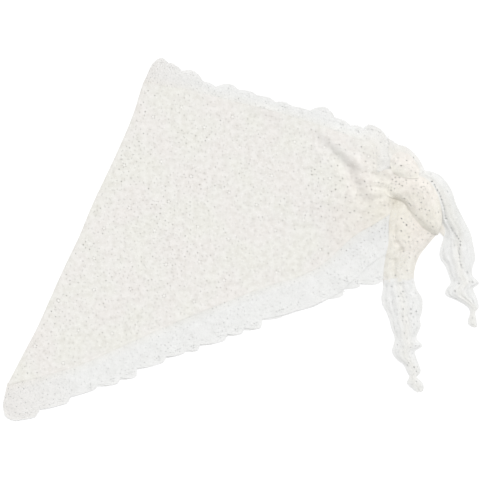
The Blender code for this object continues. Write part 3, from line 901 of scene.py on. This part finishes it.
def knotCore():
    # the turns hidden inside the knot: a small gathered heap
    core = dict(at=(258, 76), flat=25, half=(21, 22), height=9.5, gathers=9)
    turn = np.linspace(0, 2 * np.pi, 60, endpoint=False)

    def lay(spots):
        out = np.sin(clamp(np.hypot(*spots.T) / core["flat"]) * np.pi / 2)
        turn = np.arctan2(spots[:, 1], spots[:, 0])
        x = core["at"][0] + core["half"][0] * out * np.cos(turn)
        y = core["at"][1] + core["half"][1] * out * np.sin(turn)
        gathers = 0.7 * np.cos(core["gathers"] * turn) * out * (1 - out) * 4
        return columns(x, y, 0.5 + core["height"] * np.sqrt(clamp(1 - out**2)) + gathers)

    outline = core["flat"] * columns(np.cos(turn), np.sin(turn))
    flat, faces = cutCloth(outline, np.zeros((0, 5)), 2.5, np.random.default_rng(5))
    piece = clothWall("knotCore", lay, flat, faces, cotton, 0.45)
    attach(piece, "root")
    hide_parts("knot_core")
    noteTops(piece)


# rungs: x, y and height of one edge, the same of the other, how much higher the middle stands
innerRungs = [
    (236, 60, 3, 300, 36, 1.5, 1), (227, 47, 3, 299, 23, 1.5, 2.2), (223, 28, 2.6, 296, 10, 1.5, 3.4),
    (223, -3, 2.5, 284, -5, 1, 4.5), (219, -25, 2, 269, -25, 0, 4.5), (216, -46, 1.5, 262, -46, 0, 4),
    (215, -69, 1, 261, -67, 0, 3.5),
]


def tailInner():
    shape = dict(plain, pleats=3, pleatDepth=0.75, turnDown=(0.22, 0.35), folds=[
        (231, 46, 229, 24, 3.5, -2.4), (229, 24, 235, -5, 3.5, -3.8), (235, -5, 242, -15, 3.5, -3.2),
        (242, -15, 231, -31, 3.5, -3.2), (231, -31, 230, -62, 3.5, -3.4), (256, 34, 250, -60, 8, 1),
        (280, 28, 264, -16, 4, -1.2), (262, 6, 254, -44, 3, -0.9),
    ])
    marks = [(249.8, 21.8, 1.5, 1), (242, 32, 1.2, 0.9), (241, 13, 1.3, 1.2), (253, 4, 1.2, 0.6),
             (252, -3, 1, 1.5), (266, -3, 1.2, 0.5), (273, 0, 1.1, 0.9), (281, -2, 1, 0.4),
             (286, 5, 1.1, 0.8), (255, -11, 1.2, 1.2), (261, -17, 1.1, 1.2), (263, -25, 1.2, 1.5),
             (231, -20, 1, 1.5), (232, 38, 1.2, 1.2), (250, -46, 1.2, 1.4), (243, -52, 1, 1.3),
             (248, -62, 1.1, 1.5)]
    strip("tailInner", innerRungs, shape, 31, marks)


innerLaceRungs = [
    (216, -58, 0.6, 261, -58, 0, 2.5), (215, -74, 0, 265, -74, 0, 3.5), (213, -87, 0, 273, -87, 0, 3.5),
    (215, -98, 0, 274, -98, 0, 3.5), (221, -109, 0, 273, -109, 0, 3.5), (225, -120, 0, 270, -119, 0, 3),
    (228, -132, 0, 271, -130, 0, 3), (233, -147, 0, 265, -148, 0, 3), (231, -158, 0, 274, -159, 0, 3),
    (229, -168, 0, 263, -167, 0, 3), (236, -179, 0, 265, -178, 0, 3), (246, -187, 0, 269, -188, 0, 2.5),
    (251, -197, 0, 271, -199, 0, 2), (255, -205, 0, 265, -206, 0, 2), (251, -214, 0, 273, -213, 0, 2),
    (258, -222, 0, 276, -221, 0, 1.5), (267, -229, 0, 274, -228, 0, 1),
]


def tailInnerLace():
    shape = dict(plainLace, pleats=5, pleatDepth=1.1, wander=3, folds=[
        (240, -64, 250, -112, 3.5, -1.6), (226, -80, 232, -110, 3, -1),
    ])
    marks = [(256.5, -104, 1.3, 1.5), (256.5, -111, 1.1, 1.5), (261, -126, 1.2, 1.3), (244, -104, 1.2, 1.5),
             (261, -191, 1.4, 1.5), (228, -94, 1.1, 0.3), (244, -78, 1.2, 1.4), (247, -140, 1, 1.2)]
    strip("tailInnerLace", innerLaceRungs, shape, 37, marks)


outerRungs = [
    (266, 70, 3, 281, 83, 2.5, 0.5), (274, 61, 2.5, 290, 74, 2, 0.5), (283, 50, 2, 299, 59, 1.5, 0.5),
    (288, 37, 1.5, 304, 44, 1.2, 0.5), (293, 24, 1, 307, 28, 1, 0.5), (299, 13, 0.8, 311, 17, 0.8, 0.5),
    (305, 6, 0.6, 315, 9, 0.6, 0.4), (308, 2, 0.5, 317, 4, 0.5, 0.3),
]


def tailOuter():
    strip("tailOuter", outerRungs, dict(plain, mesh=2.2), 41)


outerLaceRungs = [
    (258, 90, 5, 267, 108, 4, 1), (269, 86, 5, 278, 104, 2, 1.5), (278, 77, 4, 291, 101, 1, 1.5),
    (286, 69, 4.5, 304, 93, 0, 2.5), (294, 54, 4.2, 317, 75, 0, 3), (299, 41, 4, 325, 52, 0, 3),
    (302, 27, 3.4, 336, 30, 0, 3.4), (308, 15, 2.4, 346, 10, 0, 3.4), (306, 3, 0, 349, -3, 0, 3),
    (301, -14, 0, 352, -18, 0, 3), (301, -27, 0, 353, -29, 0, 3.5), (309, -39, 0, 349, -42, 0, 3.5),
    (314, -53, 0, 349, -54, 0, 3), (317, -64, 0, 359, -65, 0, 3), (310, -74, 0, 350, -73, 0, 3.5),
    (310, -83, 0, 354, -84, 0, 3), (325, -90, 0, 357, -93, 0, 2.5), (342, -100, 0, 358, -102, 0, 2),
    (346, -109, 0, 353, -109, 0, 1.5), (343, -120, 0, 355, -120, 0, 1.5), (344, -127, 0, 356, -127, 0, 1.5),
    (351, -131, 0, 355, -131, 0, 1),
]


def tailOuterLace():
    # a row of beading holes runs down it in a groove
    shape = dict(plainLace, pleats=4, pleatDepth=1.2, folds=[
        (318, 14, 336, -44, 2.6, -1.6), (336, -44, 346, -70, 2.6, -1.2), (288, 87, 299, 68, 2.2, -1.2),
        (299, 68, 305, 50, 2.2, -1.4), (305, 50, 308, 32, 2.2, -1.4), (308, 32, 318, 14, 2.2, -1.3),
    ])
    beading = np.array([(288, 87), (294, 78), (299, 68), (302, 59), (305, 50), (307, 41), (308.5, 32),
                        (312.5, 23), (319, 14), (326, 5), (331, -5), (328, -18), (329, -30), (333, -42)])
    beads = [(x, y, 1.1 + 0.3 * (i % 3 == 0), 1.1) for i, (x, y) in enumerate(evenly(beading, 5.0))]
    marks = [(341, -48, 1.3, 0.4), (344, -62, 1.1, 1.3), (328, -66, 1.2, 0.4), (322, -76, 1.1, 0.3),
             (338, -86, 1.1, 0.4)]
    strip("tailOuterLace", outerLaceRungs, shape, 43, marks, beads)


rollRungs = [
    (224, 112, 10, 225, 120, 7.5, 2), (227, 102, 11.5, 230, 128, 6, 3.6), (236, 95, 12.4, 241, 131, 5, 4.8),
    (247, 92, 12.4, 253, 127, 4.5, 4.8), (258, 91, 10.5, 263, 116, 4, 3.6), (267, 92, 8, 269, 105, 4, 2),
]


def knotRoll():
    shape = dict(plain, turnDown=(0.5, 1.0), round=(1, 0.2), lead=9,
                 folds=[(232, 108, 258, 100, 5, -1.0), (236, 124, 254, 114, 4, -0.8)])
    marks = [(236, 122, 1.2, 0.5), (249, 118, 1.2, 0.5), (240, 110, 1.3, 0.3)]
    strip("knotRoll", rollRungs, shape, 47, marks)


knotLaceRungs = [
    (222, 118, 6, 222, 152, 2, 0.3), (230, 119, 7, 236, 143, 2, 2), (240, 118, 7, 250, 139, 1, 2.5),
    (250, 113, 7, 264, 127, 0.5, 2.5), (258, 104, 6, 272, 115, 0.5, 2), (262, 92, 6, 277, 104, 1, 1),
]


def knotLace():
    shape = dict(plainLace, pleats=2, pleatDepth=0.7, eyelets=5, mesh=2.2, wander=2, lead=18)
    strip("knotLace", knotLaceRungs, shape, 53)


bandRungs = [
    (214, 70, 11, 229, 107, 11, 0), (225, 63, 10, 238, 102, 11, 2), (236, 60, 9.5, 249, 98, 10, 3.5),
    (247, 54, 8.5, 264, 96, 8, 5.5), (255, 42, 8, 280, 90, 6.5, 7), (264, 29, 7, 293, 74, 5.5, 7.4),
    (275, 18, 6.5, 300, 52, 5, 7.4), (287, 10, 5.5, 303, 31, 4.5, 6), (297, 7, 4, 302, 16, 3.5, 2),
]


def knotBand():
    shape = dict(plain, power=2.2, turnDown=(0.45, 0.4), round=(1, 0.6), ease=1.12, eyelets=3.9, folds=[
        (232, 68, 258, 80, 6, 1.2), (262, 84, 286, 50, 6, 1.4), (230, 94, 264, 86, 4, -1.2),
        (262, 62, 282, 30, 5, -1.3), (276, 80, 298, 48, 4, 1), (248, 66, 264, 44, 4, -1),
    ])
    marks = [(232, 92, 1.1, 0.4), (242, 80, 1.2, 0.4), (248, 89, 1.2, 0.3), (230, 76, 1, 0.4),
             (270, 78, 1.2, 0.7), (274, 86, 1.1, 0.7), (267, 45, 1.1, 0.9), (271, 46, 1.1, 0.9),
             (276, 45, 1.1, 0.9), (282, 43, 1.2, 0.9), (279, 37, 1.1, 0.9), (284, 25, 1.1, 1),
             (258, 68, 1, 0.6), (286, 62, 1.1, 0.9), (292, 40, 1, 1.1)]

    def blend(x, y, z):
        # level with the front panel where it comes from, and free of it further on
        crossX, crossY, slant = body["crossing"]
        free = ease((x - crossX - (y - crossY) * slant) / 14)
        return panelHeight(x, y) * (1 - free) + z * free

    strip("knotBand", bandRungs, shape, 59, marks, blend=blend)


knotCore()
tailInner()
tailInnerLace()
tailOuter()
tailOuterLace()
knotLace()
knotBand()
knotRoll()
print("knot tied")


def camera():
    view = dict(width=0.72, lens=85, sensor=36)
    eye = bpy.data.cameras.new("camera")
    eye.lens, eye.sensor_width = view["lens"], view["sensor"]
    scene.camera = placed("camera", eye)
    scene.camera.location = (0, 0, view["width"] * view["lens"] / view["sensor"])


def lights():
    glow = dict(sky=0.88, key=1.45, softness=30, towards=(0.35, 0.75, 1.0))
    world = bpy.data.worlds.new("studio")
    world.use_nodes = True
    sky = world.node_tree.nodes["Background"].inputs
    sky["Color"].default_value, sky["Strength"].default_value = (1, 1, 1, 1), glow["sky"]
    scene.world = world
    lamp = bpy.data.lights.new("key", "SUN")
    lamp.energy, lamp.angle = glow["key"], np.radians(glow["softness"])
    placed("key", lamp).rotation_euler = Vector(glow["towards"]).to_track_quat("Z", "Y").to_euler()
    scene.view_settings.view_transform = "Standard"


def floor():
    bpy.ops.mesh.primitive_plane_add(size=12, location=(0, 0, -0.0003))
    ground = bpy.context.object
    ground.name = "floor"
    ground.data.materials.append(floorPaper())


camera()
lights()
floor()

print("finished")
